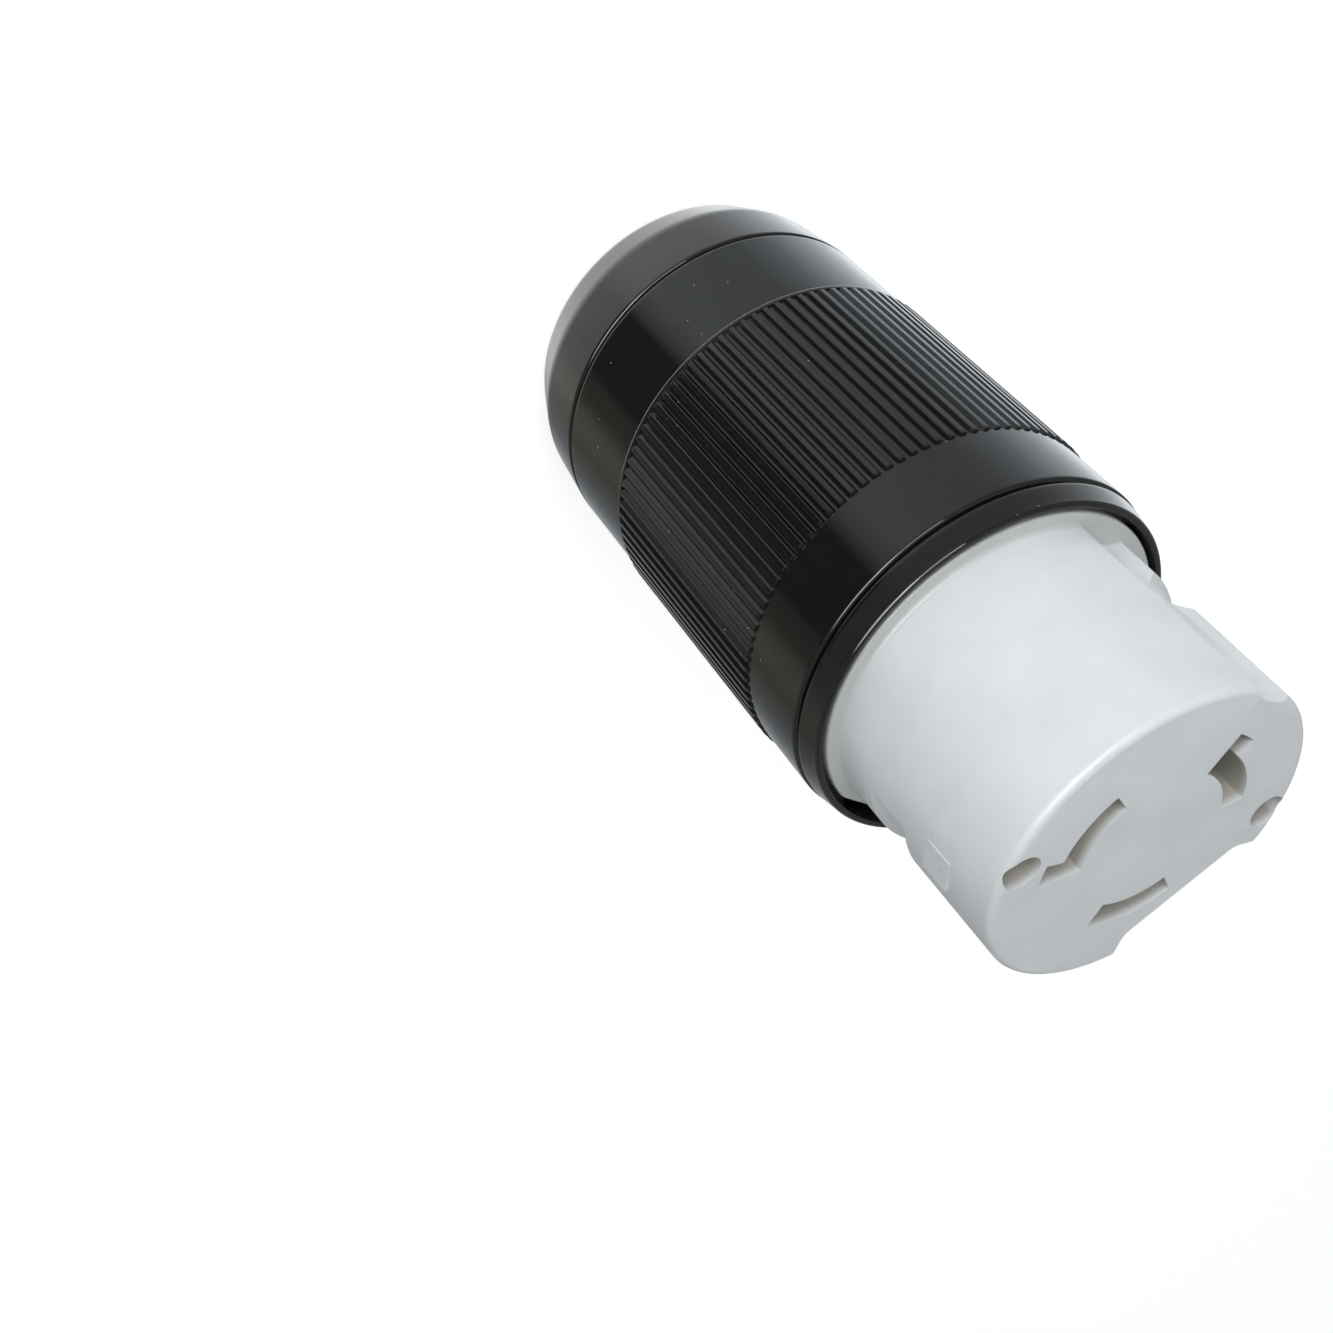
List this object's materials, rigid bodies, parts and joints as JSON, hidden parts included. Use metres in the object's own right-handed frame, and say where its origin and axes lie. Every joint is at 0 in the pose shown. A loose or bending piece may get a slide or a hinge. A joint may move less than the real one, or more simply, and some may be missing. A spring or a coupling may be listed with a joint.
{
  "type": "twist-lock connector",
  "caption": "Female locking cord connector: white nose with curved slots and a notched rim in a ribbed black barrel, with a cord clamp inside its open rear end.",
  "frame": {"origin": "centre of the rear end, on the part's axis", "axes": "+Z along the axis from the cord inlet to the contact face, +X towards the right screw hole as seen from the face"},
  "size_m": [0.0628, 0.0628, 0.1315],
  "materials": {
    "black_nylon": "glossy",
    "white_nylon": "satin",
    "carrier_nylon": "satin",
    "clamp_nylon": "satin",
    "contact_brass": "bright",
    "screw_steel": "zinc plated",
    "earth_green": "green dyed"
  },
  "bodies": {
    "connector": {"housing": "black_nylon", "housing_tail": "black_nylon", "contact_body": "white_nylon", "terminal_carrier": "carrier_nylon", "contact_line_1": "contact_brass", "contact_line_2": "contact_brass", "contact_neutral": "contact_brass", "terminal_line_1": "contact_brass", "terminal_line_2": "contact_brass", "terminal_neutral": "contact_brass", "terminal_screw_line_1": "screw_steel", "terminal_screw_line_2": "screw_steel", "terminal_screw_neutral": "screw_steel", "earth_spring": "contact_brass", "earth_terminal": "contact_brass", "earth_screw": "earth_green", "assembly_screw_left": "screw_steel", "assembly_screw_right": "screw_steel"},
    "upper_clamp": {"clamp_jaw_upper": "clamp_nylon", "clamp_screw_left": "screw_steel", "clamp_screw_right": "screw_steel"},
    "lower_clamp": {"clamp_jaw_lower": "clamp_nylon", "clamp_nut_left": "screw_steel", "clamp_nut_right": "screw_steel"}
  },
  "joints": [
    {"name": "upper_clamp_slide", "type": "slide", "parent": "connector", "child": "upper_clamp", "axis": [0, -1, 0], "range_m": [0, 0.003]},
    {"name": "lower_clamp_slide", "type": "slide", "parent": "connector", "child": "lower_clamp", "axis": [0, 1, 0], "range_m": [0, 0.003]}
  ],
  "couplings": [
    {"joint": "lower_clamp_slide", "follows": "upper_clamp_slide", "ratio": 1}
  ]
}
